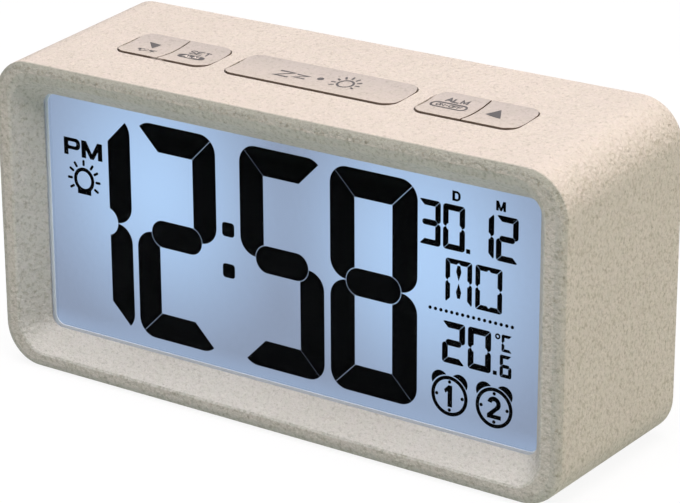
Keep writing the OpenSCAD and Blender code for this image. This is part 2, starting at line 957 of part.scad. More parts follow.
module letter_d(w, h, stroke) {
    difference() {
        letter_d_outline(w, h);
        translate([(stroke - stroke * 0.85) / 2, 0])
            letter_d_outline(w - stroke * 1.85, h - stroke * 1.5);
    }
}

// Straight on the left and round on the right
module letter_d_outline(w, h) {
    r = min(w, h) * 0.49;
    translate([-w / 2, -h / 2])
        square([w - r, h]);
    rounded_rect(w, h, r);
}

module letter_m(w, h, stroke) {
    for (sx = [0, 1])
        mirror([sx, 0])
            translate([-w / 2, -h / 2])
                square([stroke, h]);
    polygon([[-w / 2 + 0.01, h / 2], [-w / 2 + stroke * 1.1, h / 2], [0, -h * 0.2],
        [w / 2 - stroke * 1.1, h / 2], [w / 2 - 0.01, h / 2], [stroke * 0.38, -h / 2],
        [-stroke * 0.38, -h / 2]]);
}

module letter_p(w, h, stroke) {
    difference() {
        union() {
            translate([-w / 2, -h / 2])
                square([stroke, h]);
            translate([-w / 2, -h / 2 + h * 0.34])
                square([w * 0.6, h * 0.66]);
            translate([0, h / 2 - h * 0.33])
                rounded_rect(w, h * 0.66, h * 0.29);
        }
        translate([stroke * 0.05, h / 2 - h * 0.33])
            rounded_rect(w - 1.9 * stroke, h * 0.66 - 1.5, 0.45);
    }
}

module temperature_segments() {
    segment_layer() {
        translate([40.75, -7.9])
            digit(SEGMENTS[2], temp_w, temp_h, temp_stroke, 0.7, small_joint);
        translate([46.75, -7.9])
            digit(SEGMENTS[0], temp_w, temp_h, temp_stroke, 0.7, small_joint);
        translate([50.35, -7.9 - temp_h / 2 + 0.45])
            square(0.85, center = true);
        translate([52.8, -10.05])
            digit(SEGMENTS[6], 2.65, 4.7, 0.72, 0.4, 0.08);
        translate([53, -5.25])
            digit(LETTER_C, 2.35, 3.55, 0.6, 0.3, 0.08);
        translate([50.9, -4.1])
            ring(0.6, 0.32);
    }
}

module ring(r, stroke) {
    difference() {
        circle(r);
        circle(r - stroke);
    }
}

module sign_segments() {
    segment_layer() {
        translate([-55.6, 14.8])
            letter_p(4.4, 3.8, 1.1);
        translate([-50.2, 14.8])
            letter_m(5.6, 3.8, 1.15);
        translate([-52.6, 7.9])
            lamp_sign();
        for (i = [0:15])
            translate([35.2 + i * 1.265, -1.5])
                circle(0.36);
        translate([39.9, -19.3]) {
            alarm_sign();
            scale(1.13)
                numeral_one();
        }
        translate([50.3, -19.3]) {
            alarm_sign();
            scale(1.13)
                numeral_two();
        }
    }
}

module lamp_sign() {
    difference() {
        union() {
            circle(lamp_r);
            translate([-1.8, -lamp_r - 0.45])
                square([3.6, 1.5]);
        }
        circle(lamp_r - 0.8);
    }
    for (a = [-30, 0, 30, 55, 90, 125, 150, 180, 210])
        rotate([0, 0, a])
            translate([lamp_r + 1.05, 0])
                rounded_rect(1.35, 0.56, 0.27);
}

module alarm_sign() {
    ring(alarm_r, 0.75);
    for (sx = [-1, 1])
        difference() {
            translate([sx * 2.25, 3.1])
                circle(1.95);
            circle(alarm_r + 0.25);
        }
    for (a = [0:90:270])
        rotate([0, 0, a])
            translate([alarm_r - 1.25, 0])
                circle(0.36);
}

module numeral_one() {
    polygon([[-1.1, 1.1], [-0.2, 2], [0.55, 2], [0.55, -2.05], [-0.35, -2.05], [-0.35, 0.85], [-0.85, 0.45]]);
}

module numeral_two() {
    intersection() {
        translate([0, 0.75])
            ring(1.35, 0.85);
        polygon([[-1.5, 1.0], [0, 0.75], [0.75, -0.6], [1.6, -0.6], [1.6, 2.2], [-1.5, 2.2]]);
    }
    polygon([[1.17, 0.05], [0.4, 0.35], [-1.4, -1.3], [-1.4, -2.05], [1.4, -2.05], [1.4, -1.3],
        [-0.25, -1.3]]);
}

// Boards

module main_board() {
    color("darkgreen")
        layer(board_depth, board_t)
            difference() {
                union() {
                    translate([0, frame_mid])
                        square([frame_w, frame_h], center = true);
                    for (sy = [-1, 1])
                        translate([0, sy * board_screw_z])
                            square([2 * ear_x, 5], center = true);
                }
                for (sx = [-1, 1], sy = [-1, 1])
                    translate([sx * boss_x, sy * board_screw_z])
                        circle(d = pass_d);
            }
}

module on_board_back() {
    facing()
        translate([0, 0, case_d - board_back])
            rotate([0, 180, 0])
                children();
}

module chip_blob() {
    sphere_r = (blob_r * blob_r + blob_h * blob_h) / (2 * blob_h);
    color("black")
        on_board_back()
            translate([0, -6, 0])
                intersection() {
                    translate([0, 0, blob_h - sphere_r])
                        sphere(sphere_r);
                    cylinder(r = blob_r + 1, h = blob_h + 1);
                }
}

module quartz_crystal() {
    color("silver")
        on_board_back()
            translate([-well_l / 2 - well_wall - can_gap - can_d / 2, -8, 0])
                cylinder(d = can_d, h = can_h);
}

module chip_parts() {
    color("darkkhaki")
        on_board_back()
            for (i = [0:5], j = [0, 1])
                translate([14 + i * 4, -12 + j * 6, 0])
                    translate([-0.8, -0.4, 0])
                        cube([1.6, 0.8, 0.6]);
}

module temperature_sensor() {
    color("darkslategray")
        on_board_back()
            translate([buzzer_x, 0, 0]) {
                for (sx = [-1, 1])
                    translate([sx * 0.8, 0, 0])
                        cylinder(d = 0.5, h = sensor_h);
                translate([0, 0, sensor_h])
                    sphere(d = 3);
            }
}

module board_screws() {
    color("silver")
        facing()
            for (sx = [-1, 1], sy = [-1, 1])
                translate([sx * boss_x, sy * board_screw_z, case_d - board_back])
                    screw(board_t + min(screw_l, board_depth - recess - 0.6));
}

// A cross-head screw whose head sits behind Z = 0 and whose shank points along +Z
module screw(length) {
    translate([0, 0, -head_h])
        difference() {
            cylinder(d = head_d, h = head_h);
            for (a = [0, 90])
                rotate([0, 0, a])
                    translate([-1, -0.25, -over])
                        cube([2, 0.5, 0.6 + over]);
        }
    cylinder(d = screw_d, h = length);
}

module key_board() {
    color("darkgreen")
        on_top()
            translate([0, 0, key_board_top - key_board_t])
                linear_extrude(key_board_t)
                    difference() {
                        translate([-key_board_w / 2, key_board_front])
                            square([key_board_w, key_board_back - key_board_front]);
                        for (p = key_posts)
                            translate([p[0], p[1]])
                                circle(d = pass_d);
                    }
}

module switch_bodies() {
    color("dimgray")
        on_top()
            for (x = switch_x)
                translate([x, key_y, key_board_top])
                    difference() {
                        translate([-switch_w / 2, -switch_w / 2, 0])
                            cube([switch_w, switch_w, switch_h]);
                        translate([0, 0, switch_h - plunger_in - key_travel - 0.4])
                            cylinder(d = plunger_d + 0.2, h = switch_h);
                    }
}

module key_board_screws() {
    color("silver")
        on_top()
            for (p = key_posts)
                translate([p[0], p[1], key_board_top - key_board_t])
                    screw(key_board_t + min(screw_l, case_h - wall - 1.2 - key_board_top));
}

// Height of the underside of the key board at a distance from the middle of the case
function board_under(y) = case_h / 2 + bend_y + (y + case_d / 2 + bend_r) * tan(top_slope)
    + (key_board_top - key_board_t - case_h / 2 - row_y) / cos(top_slope);

module ribbon_cable() {
    y0 = key_board_front + 2;
    low_z = board_under(y0) - 8;
    color("lightgray")
        translate([-ribbon_w / 2 - 20, 0, 0])
            rotate([90, 0, 90])
                linear_extrude(ribbon_w)
                    polygon([[y0, board_under(y0)], [y0 + ribbon_t, board_under(y0 + ribbon_t)],
                        [y0 + ribbon_t, low_z], [y0 + ribbon_t - 1, low_z - 1], [board_back_y, low_z - 1],
                        [board_back_y, low_z - 1 + ribbon_t], [y0 - 0.6, low_z - 1 + ribbon_t],
                        [y0, low_z + ribbon_t]]);
}

// Buzzer

module buzzer() {
    color("black")
        facing()
            translate([buzzer_x, 0, cover_in])
                difference() {
                    cylinder(d = buzzer_d, h = buzzer_h);
                    translate([0, 0, -over])
                        cylinder(d = 3, h = 2 + over);
                }
}

module buzzer_leads() {
    color("firebrick")
        facing()
            for (sx = [-1, 1])
                translate([buzzer_x + 3 * sx, 0, cover_in + buzzer_h])
                    cylinder(d = 1, h = case_d - board_back - cover_in - buzzer_h);
}

// Cells and contacts

module battery_cells() {
    color("steelblue")
        facing()
            for (side = [-1, 1])
                translate([0, well_y - side * cell_pitch / 2, cell_z])
                    rotate([0, 90 * side, 0])
                        translate([0, 0, well_l / 2 - strip_t - cell_l]) {
                            cylinder(d = cell_d, h = cell_l - button_h);
                            cylinder(d = button_d, h = cell_l);
                        }
}

// A contact strip that stands on the left end wall of the well
module end_strip(y0, y1) {
    translate([-well_l / 2, y0, cell_z - strip_w / 2])
        cube([strip_t, y1 - y0, strip_w]);
}

// A leaf spring that stands on the left end wall of the well and presses on the flat end of a cell
module leaf(y) {
    translate([-well_l / 2, y - strip_w / 2, cell_z])
        rotate([-90, 0, 0])
            linear_extrude(strip_w)
                polygon([[strip_t - 0.1, 4], [strip_t + leaf_h - 0.6, 0.6], [strip_t + leaf_h, 0.6],
                    [strip_t + leaf_h, -0.6], [strip_t + leaf_h - 0.6, -0.6], [strip_t + 1, -3],
                    [strip_t + 0.7, -2.7], [strip_t + leaf_h - 1.2, 0], [strip_t, 3.5],
                    [strip_t - 0.1, 3.5]]);
}

module contact_tab(y) {
    translate([-tab_out, y - tab_w / 2, tab_z - strip_t / 2])
        cube([tab_out - well_l / 2 + strip_t / 2, tab_w, strip_t]);
}

module battery_plate() {
    y = well_y + cell_pitch / 2;
    color("gold")
        facing() {
            end_strip(y - strip_w / 2, y + strip_w / 2);
            contact_tab(y);
        }
}

module battery_leaf() {
    y = well_y - cell_pitch / 2;
    color("gold")
        facing() {
            end_strip(y - strip_w / 2, y + strip_w / 2);
            leaf(y);
            contact_tab(y);
        }
}

module battery_link() {
    y = well_y + cell_pitch / 2;
    color("gold")
        facing()
            mirror([1, 0, 0]) {
                end_strip(well_y - cell_pitch / 2 - strip_w / 2, y + strip_w / 2);
                leaf(y);
            }
}

module battery_leads() {
    color("firebrick")
        facing()
            for (sy = [-1, 1])
                translate([-tab_out, well_y + sy * cell_pitch / 2, tab_z]) {
                    translate([-lead_run, 0, 0])
                        rotate([0, 90, 0])
                            cylinder(d = lead_d, h = lead_run);
                    translate([-lead_run, 0, 0])
                        sphere(d = lead_d);
                    translate([-lead_run, 0, 0])
                        cylinder(d = lead_d, h = case_d - board_back - tab_z);
                }
}

module cover_screws() {
    color("silver")
        facing()
            for (sx = [-1, 1], sy = [-1, 1])
                translate([sx * boss_x, sy * cover_screw_z, cover_inset + sink_h])
                    screw(cover_t - sink_h + screw_l);
}

// Keys

module key_solid(x) {
    on_top()
        difference() {
            union() {
                translate([0, key_y, flange_top - over])
                    linear_extrude(key_top - flange_top + over)
                        children(0);
                translate([0, key_y, flange_low])
                    linear_extrude(flange_t)
                        children(1);
                translate([x, key_y, stem_low])
                    cylinder(d = stem_d, h = stem_h + over);
            }
            translate([x, key_y, key_top + dish_r - key_dish])
                rotate([0, 90, 0])
                    cylinder(r = dish_r, h = snooze_w + 10, center = true, $fn = 96);
        }
}

// One half of a pair of keys, side -1 for the left key and 1 for the right one
module pair_half(pair, side, grow) {
    intersection() {
        translate([pair * pair_x, 0])
            rounded_rect(pair_w + 2 * grow, key_d + 2 * grow, key_r + grow);
        translate([pair * pair_x + side * (split_gap / 2 + pair_w / 2), 0])
            square([pair_w, 2 * key_d], center = true);
    }
}

module pair_key(pair, side) {
    color("tan")
        key_solid(pair * pair_x + side * key_off) {
            pair_half(pair, side, 0);
            pair_half(pair, side, flange_w);
        }
}

module plunger(i) {
    color("white")
        on_top()
            translate([switch_x[i], key_y, switch_top - plunger_in])
                cylinder(d = plunger_d, h = plunger_in + plunger_h);
}

module down_key() {
    pair_key(-1, -1);
}

module down_plunger() {
    plunger(0);
}

module set_key() {
    pair_key(-1, 1);
}

module set_plunger() {
    plunger(1);
}

module snooze_key() {
    color("tan")
        key_solid(0) {
            rounded_rect(snooze_w, key_d, key_r);
            rounded_rect(snooze_w + 2 * flange_w, key_d + 2 * flange_w, key_r + flange_w);
        }
}

module snooze_plunger() {
    plunger(2);
}

module alarm_key() {
    pair_key(1, -1);
}

module alarm_plunger() {
    plunger(3);
}

module up_key() {
    pair_key(1, 1);
}

module up_plunger() {
    plunger(4);
}

case_shell();
rear_cover();
battery_door();
display_window();
display_gasket();
front_polariser();
front_glass();
cell_seal();
time_segments();
date_segments();
temperature_segments();
sign_segments();
rear_glass();
rear_polariser();
diffuser_film();
light_guide();
reflector_sheet();
backlight_lamps();
display_frame();
contact_strip();
main_board();
chip_blob();
quartz_crystal();
chip_parts();
temperature_sensor();
board_screws();
key_board();
switch_bodies();
key_board_screws();
ribbon_cable();
buzzer();
buzzer_leads();
battery_cells();
battery_plate();
battery_leaf();
battery_link();
battery_leads();
cover_screws();
down_key();
down_plunger();
set_key();
set_plunger();
snooze_key();
snooze_plunger();
alarm_key();
alarm_plunger();
up_key();
up_plunger();
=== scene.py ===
import math

import bmesh
import bpy
from mathutils import Matrix, Vector


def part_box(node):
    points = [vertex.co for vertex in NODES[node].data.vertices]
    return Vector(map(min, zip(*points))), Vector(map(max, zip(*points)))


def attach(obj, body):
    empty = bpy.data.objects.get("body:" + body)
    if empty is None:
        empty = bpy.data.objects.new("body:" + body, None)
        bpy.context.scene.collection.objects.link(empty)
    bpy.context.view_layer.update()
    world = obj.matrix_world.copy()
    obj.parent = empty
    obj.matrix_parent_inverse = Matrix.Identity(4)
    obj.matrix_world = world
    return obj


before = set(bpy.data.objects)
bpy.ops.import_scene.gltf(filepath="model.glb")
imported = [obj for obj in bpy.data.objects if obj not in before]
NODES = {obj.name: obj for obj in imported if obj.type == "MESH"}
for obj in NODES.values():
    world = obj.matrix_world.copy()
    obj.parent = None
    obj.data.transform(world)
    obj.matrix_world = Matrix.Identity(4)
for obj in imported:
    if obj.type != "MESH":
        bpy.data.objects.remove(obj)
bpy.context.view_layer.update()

MM = 0.001
KEYS = ("down", "set", "snooze", "alarm", "up")


# Materials: every surface is drawn from noise in real metres

class Surface:
    """A material with one shader, built up node by node."""

    def __init__(self, name, color, roughness, **sockets):
        self.material = bpy.data.materials.new(name)
        self.material.use_nodes = True
        self.tree = self.material.node_tree
        self.tree.nodes.clear()
        self.out = self.add("ShaderNodeOutputMaterial")
        self.shader = self.add("ShaderNodeBsdfPrincipled")
        self.link(self.shader.outputs["BSDF"], self.out.inputs["Surface"])
        self.place = self.add("ShaderNodeTexCoord").outputs["Object"]
        self.shader.inputs["Base Color"].default_value = (*color, 1)
        self.shader.inputs["Roughness"].default_value = roughness
        for socket, value in sockets.items():
            self.shader.inputs[socket.replace("_", " ")].default_value = value
        self.start = color
        self.color = None
        self.normal = None

    def add(self, kind, **values):
        node = self.tree.nodes.new(kind)
        for key, value in values.items():
            setattr(node, key, value)
        return node

    def link(self, a, b):
        self.tree.links.new(a, b)

    def turned(self, size, turn=(0, 0, 0), middle=(0, 0, 0)):
        """Coordinates from a middle, turned, then counted in steps of this size along each axis."""
        node = self.add("ShaderNodeMapping", vector_type="TEXTURE")
        node.inputs["Location"].default_value = middle
        node.inputs["Rotation"].default_value = turn
        node.inputs["Scale"].default_value = size
        self.link(self.place, node.inputs["Vector"])
        return node.outputs["Vector"]

    def parts(self, vector):
        """The X, Y and Z of a vector."""
        node = self.add("ShaderNodeSeparateXYZ")
        self.link(vector, node.inputs[0])
        return node.outputs

    def facing(self):
        """The direction that the surface faces, before any bumps."""
        return self.add("ShaderNodeNewGeometry").outputs["True Normal"]

    def noise(self, scale, detail=2.0, rough=0.5, place=None):
        """Noise with this many features to the metre, or to one step of the coordinates given."""
        node = self.add("ShaderNodeTexNoise")
        node.inputs["Scale"].default_value = scale
        node.inputs["Detail"].default_value = detail
        node.inputs["Roughness"].default_value = rough
        self.link(place or self.place, node.inputs["Vector"])
        return node.outputs["Fac"]

    def ramp(self, value, low, high, out_low=0.0, out_high=1.0):
        """The value from low to high, spread over the new range and held at its ends."""
        node = self.add("ShaderNodeMapRange")
        node.inputs["From Min"].default_value = low
        node.inputs["From Max"].default_value = high
        node.inputs["To Min"].default_value = out_low
        node.inputs["To Max"].default_value = out_high
        self.link(value, node.inputs["Value"])
        return node.outputs["Result"]

    def math(self, kind, a, b=0):
        """Sums on numbers or sockets."""
        node = self.add("ShaderNodeMath", operation=kind)
        for socket, value in zip(node.inputs, (a, b)):
            if isinstance(value, (int, float)):
                socket.default_value = value
            else:
                self.link(value, socket)
        return node.outputs[0]

    def vector(self, kind, a, b):
        """Sums on vectors, where b is a socket or a fixed vector."""
        node = self.add("ShaderNodeVectorMath", operation=kind)
        self.link(a, node.inputs[0])
        if isinstance(b, bpy.types.NodeSocket):
            self.link(b, node.inputs[1])
        else:
            node.inputs[1].default_value = b
        return node.outputs

    def tint(self, factor, color, blend="MIX"):
        """Blends this colour in by the factor."""
        node = self.add("ShaderNodeMix", data_type="RGBA", blend_type=blend)
        if self.color is None:
            node.inputs["A"].default_value = (*self.start, 1)
        else:
            self.link(self.color, node.inputs["A"])
        node.inputs["B"].default_value = (*color, 1)
        self.link(factor, node.inputs["Factor"])
        self.color = node.outputs["Result"]
        self.link(self.color, self.shader.inputs["Base Color"])

    def rough(self, value, low, high):
        """Roughness from low to high, over the middle of the noise."""
        self.link(self.ramp(value, 0.3, 0.7, low, high), self.shader.inputs["Roughness"])

    def bump(self, value, depth, strength=1.0):
        """Raises the surface by the value times the depth in metres."""
        node = self.add("ShaderNodeBump")
        node.inputs["Strength"].default_value = strength
        node.inputs["Distance"].default_value = depth
        self.link(value, node.inputs["Height"])
        if self.normal is not None:
            self.link(self.normal, node.inputs["Normal"])
        self.normal = node.outputs["Normal"]
        self.link(self.normal, self.shader.inputs["Normal"])


def shade(color, by):
    return tuple(min(1.0, c * by) for c in color)


# Straw plastic: turns that keep its noises apart, the size of a fibre, and tints as shares of the colour below
TURNS = ((0.3, 0.5, 0.8), (1.2, 2.1, 0.4), (2.2, 0.9, 1.7))
EVEN = (1, 1, 1)
FIBRE_SIZE = (0.0028, 0.0005, 0.0005)
GRAIN_SHARE = (0.5, 0.5, 0.46)
FIBRE_SHARE = (0.6, 0.55, 0.45)
MOTTLE_TINT = (0.965, 0.985, 0.96)
# Painted shade in the plastic's pits, used on upright faces
PIT_PAINTED_SHADE = (0.62, 0.6, 0.52)


def straw_plastic(name, color, grit_depth):
    """Matte plastic filled with ground straw: dark and pale grains, a few short fibres and a gritty skin.

    Its pits are darkened with painted shade, which shows on upright faces and hardly on the top.
    """
    s = Surface(name, color, 0.65, Specular_IOR_Level=0.3)
    s.tint(s.ramp(s.noise(60, 3), 0.35, 0.65, 0.0, 0.5), shade(color, 0.95))
    grain = s.noise(1200, 3, 0.65)
    s.tint(s.ramp(grain, 0.54, 0.72, 0.0, 0.5), tuple(c * k for c, k in zip(color, GRAIN_SHARE)))
    pale = s.noise(1300, 2, 0.6, s.turned(EVEN, TURNS[0]))
    s.tint(s.ramp(pale, 0.56, 0.74, 0.0, 0.5), shade(color, 1.18))
    for turn in TURNS:
        fibre = s.noise(1.0, 1.0, 0.4, s.turned(FIBRE_SIZE, turn))
        s.tint(s.ramp(fibre, 0.69, 0.77, 0.0, 0.3), tuple(c * k for c, k in zip(color, FIBRE_SHARE)))
    mottle = s.noise(380, 3, 0.6, s.turned(EVEN, TURNS[1]))
    s.tint(s.ramp(mottle, 0.4, 0.62, 0.0, 0.7), MOTTLE_TINT, "MULTIPLY")
    # Painted shade in the pits: strong on upright faces, faint on the top
    pits = s.ramp(s.noise(1200, 3, 0.65, s.turned(EVEN, TURNS[2])), 0.5, 0.7)
    upright = s.ramp(s.parts(s.facing())["Z"], 0.85, 0.45, 0.05, 0.8)
    s.tint(s.math("MULTIPLY", pits, upright), PIT_PAINTED_SHADE, "MULTIPLY")
    grit = s.noise(1050, 4, 0.66)
    s.rough(grit, 0.55, 0.75)
    s.bump(grit, grit_depth)
    return s


CASE_COLOR = (0.69, 0.62, 0.55)
CASE_GRIT = 0.00065
# Painted shade on the rounding of the front's outer edge
EDGE_PAINTED_SHADE = (0.48, 0.54, 0.51)
# Painted light: the display's glow on the bezel's slope, paler and bluer
SLOPE_PAINTED_GLOW = (1.04, 1.11, 1.14)
ACROSS_FRONT = (1, 0, 1)


def case_plastic(name):
    """Straw plastic, with painted shade where the outer edge of the front turns over, and a painted glow of the
    display, paler and greyer-blue, on the bezel's slope.

    Outward tells the two apart: it is above zero where a face looks away from the middle of the front.
    """
    s = straw_plastic(name, CASE_COLOR, CASE_GRIT)
    low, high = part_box("case_shell")
    facing = s.facing()
    turn = s.parts(facing)
    from_middle = s.vector("SUBTRACT", s.place, (low + high) / 2)[0]
    flat = s.vector("MULTIPLY", from_middle, ACROSS_FRONT)[0]
    outward = s.vector("DOT_PRODUCT", flat, facing)["Value"]
    # Painted shade on the outer rounding of the front, by the way each face turns
    edge = s.math("MULTIPLY", s.ramp(outward, 0.0, 0.004), s.ramp(turn["Z"], -0.2, 0.45))
    edge = s.math("MULTIPLY", edge, s.ramp(turn["Y"], -0.2, -0.36))
    edge = s.math("MULTIPLY", edge, s.ramp(turn["Y"], -1.0, -0.4, 0.75, 1.0))
    s.tint(edge, EDGE_PAINTED_SHADE, "MULTIPLY")
    # Painted glow of the display on the inward faces of the bezel's slope
    slope = s.math("MULTIPLY", s.ramp(outward, -0.002, -0.006), s.ramp(turn["Z"], -0.6, 0.6))
    s.tint(slope, SLOPE_PAINTED_GLOW, "MULTIPLY")
    return s.material


KEY_COLOR = (0.585, 0.522, 0.464)
KEY_GRIT = 0.00015
# Painted shade: the dish greyer towards the back, and the key sides dark in the gaps
KEY_BACK_PAINTED_SHADE = (0.8, 0.81, 0.84)
GAP_PAINTED_SHADE = (0.2, 0.15, 0.11)
LEFT_SPLIT_X = -37.4


def key_plastic(name):
    """Straw plastic, with painted shade: greyer towards the back of the keys' dished tops, and dark on the sides
    that face a gap.

    The split between the two keys on the left is left out of the painted gap shade and stays pale.
    """
    s = straw_plastic(name, KEY_COLOR, KEY_GRIT)
    low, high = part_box("snooze_key")
    place = s.parts(s.place)
    # Painted shade of the dish, greyer towards the back of the key
    s.tint(s.ramp(place["Y"], low.y, high.y), KEY_BACK_PAINTED_SHADE, "MULTIPLY")
    from_split = s.math("ABSOLUTE", s.math("SUBTRACT", place["X"], LEFT_SPLIT_X * MM))
    # Painted shade on the key sides that face a gap, but not at the split on the left
    upright = s.ramp(s.parts(s.facing())["Z"], 0.7, 0.4)
    s.tint(s.math("MULTIPLY", upright, s.ramp(from_split, 0.001, 0.002)), GAP_PAINTED_SHADE)
    return s.material


def moulded(name, color, roughness, spread=0.12, **sockets):
    """Plain moulded plastic, film or rubber: a fine skin with faint clouds of colour."""
    s = Surface(name, color, roughness, **sockets)
    s.tint(s.ramp(s.noise(160, 3), 0.35, 0.65), shade(color, 1 - spread))
    fine = s.noise(1600, 3)
    s.rough(fine, roughness * 0.85, min(1.0, roughness * 1.15))
    s.bump(fine, 0.00002, 0.6)
    return s.material


LINES_ALONG_X = (0.0033, 0.00011, 0.00011)
LINES_ALONG_Z = (0.00011, 0.00011, 0.0033)


def metal(name, color, roughness, brush=LINES_ALONG_X):
    """Plated or drawn metal with fine lines along one axis."""
    s = Surface(name, color, roughness, Metallic=1.0)
    lines = s.noise(1.0, 3, 0.6, s.turned(brush))
    s.tint(s.ramp(lines, 0.4, 0.6), shade(color, 0.82))
    s.rough(s.noise(900, 3), roughness * 0.75, roughness * 1.3)
    s.bump(lines, 0.000006, 0.5)
    return s.material


def sheer(name, color, alpha, roughness):
    """A clear sheet that lets the light behind it through, with a faint haze."""
    s = Surface(name, color, roughness, Alpha=alpha, Specular_IOR_Level=0.5)
    s.tint(s.ramp(s.noise(45, 2), 0.3, 0.7), shade(color, 0.93))
    s.rough(s.noise(400, 2), roughness * 0.8, roughness * 1.25)
    return s.material


MASK_GREEN = (0.02, 0.16, 0.055)
TRACK_GREEN = (0.05, 0.27, 0.1)
PAD_GOLD = (0.45, 0.4, 0.22)


def circuit_board(name):
    """Green solder mask with copper tracks under it."""
    s = Surface(name, MASK_GREEN, 0.35)
    tracks = s.add("ShaderNodeTexBrick")
    tracks.inputs["Scale"].default_value = 260
    tracks.inputs["Mortar Size"].default_value = 0.03
    s.link(s.place, tracks.inputs["Vector"])
    s.tint(s.ramp(tracks.outputs["Fac"], 0, 1), TRACK_GREEN)
    s.tint(s.ramp(s.noise(700, 2), 0.62, 0.66), PAD_GOLD)
    s.rough(s.noise(1200, 2), 0.28, 0.42)
    s.bump(tracks.outputs["Fac"], 0.00003, 0.5)
    return s.material


# Light behind the display: its brightest spots as shares of the width and height, how far each reaches,
# the lift along the lower edge, and the colours from dim to bright
GLOW_SPOTS = ((0.23, 0.68), (0.77, 0.66))
GLOW_REACH = 0.04
EDGE_LIFT = 0.2
EDGE_LIFT_HEIGHT = 0.0045
GLOW_COLORS = (
    (0.0, (0.272, 0.335, 0.465)),
    (0.12, (0.305, 0.39, 0.55)),
    (0.5, (0.375, 0.51, 0.73)),
    (1.0, (0.455, 0.655, 0.955)),
)


def glow_ramp(s, value, strength):
    """Light of the display's own colours, from its dim edges to its brightest spots."""
    ramp = s.add("ShaderNodeValToRGB")
    stops = ramp.color_ramp.elements
    while len(stops) < len(GLOW_COLORS):
        stops.new(0.5)
    for stop, (at, color) in zip(stops, GLOW_COLORS):
        stop.position = at
        stop.color = (*color, 1)
    s.link(value, ramp.inputs["Fac"])
    s.link(ramp.outputs["Color"], s.shader.inputs["Emission Color"])
    s.shader.inputs["Emission Strength"].default_value = strength


def lit_display(name, strength):
    """Glass with the light behind it: two bright spots in its upper half and a faint lift along its lower edge."""
    s = Surface(name, (0.05, 0.07, 0.1), 0.4, Specular_IOR_Level=0.1)
    low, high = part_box("rear_glass")
    glow = s.ramp(s.parts(s.place)["Z"], low.z, low.z + EDGE_LIFT_HEIGHT, EDGE_LIFT, 0.0)
    for u, v in GLOW_SPOTS:
        spot = (low.x + (high.x - low.x) * u, low.y, low.z + (high.z - low.z) * v)
        far = s.add("ShaderNodeVectorMath", operation="LENGTH")
        s.link(s.turned((GLOW_REACH, 1, GLOW_REACH), middle=spot), far.inputs[0])
        fade = s.add("ShaderNodeMapRange", interpolation_type="SMOOTHSTEP")
        fade.inputs["To Min"].default_value = 1.0
        fade.inputs["To Max"].default_value = 0.0
        s.link(far.outputs["Value"], fade.inputs["Value"])
        glow = s.math("ADD", glow, fade.outputs["Result"])
    glow_ramp(s, glow, strength)
    s.tint(s.ramp(s.noise(900, 2), 0.4, 0.6), (0.06, 0.085, 0.12))
    s.rough(s.noise(700, 2), 0.35, 0.45)
    return s.material


# Cells: places along each one, as shares of its length from the flat end to the button
RING_AT = 0.86
RING_HALF = 0.035
BARE_FROM_MIDDLE = 0.475
WRAPPER_SLATE = (0.07, 0.095, 0.12)
RING_GREY = (0.5, 0.52, 0.53)
CELL_END = (0.62, 0.62, 0.6)
WRAPPER_SPECK = (0.3, 0.3, 0.3)


def cell_wrapper(name):
    """A plain slate wrapper on each cell, with a pale ring near the button end and bright ends."""
    s = Surface(name, WRAPPER_SLATE, 0.3, Coat_Weight=0.4)
    low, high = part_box("battery_cells")
    place = s.parts(s.place)
    upper = s.math("GREATER_THAN", place["Z"], (low.z + high.z) / 2)
    along = s.math("ABSOLUTE", s.math("SUBTRACT", upper, s.ramp(place["X"], low.x, high.x)))
    from_ring = s.math("ABSOLUTE", s.math("SUBTRACT", along, RING_AT))
    s.tint(s.math("LESS_THAN", from_ring, RING_HALF), RING_GREY)
    from_middle = s.math("ABSOLUTE", s.math("SUBTRACT", along, 0.5))
    s.tint(s.math("GREATER_THAN", from_middle, BARE_FROM_MIDDLE), CELL_END)
    s.tint(s.ramp(s.noise(1800, 2), 0.62, 0.75, 0, 0.3), WRAPPER_SPECK)
    s.rough(s.noise(500, 2), 0.22, 0.38)
    return s.material


def ribbon_lines(name):
    """A flat cable of side by side wires in grey."""
    s = Surface(name, (0.5, 0.5, 0.52), 0.45)
    wires = s.add("ShaderNodeTexWave", wave_type="BANDS", bands_direction="X")
    wires.inputs["Scale"].default_value = 300
    s.link(s.place, wires.inputs["Vector"])
    s.tint(s.ramp(wires.outputs["Fac"], 0.1, 0.5, 0.8, 0.0), (0.25, 0.25, 0.27))
    s.rough(s.noise(900, 2), 0.38, 0.52)
    s.bump(wires.outputs["Fac"], 0.0002, 0.6)
    return s.material


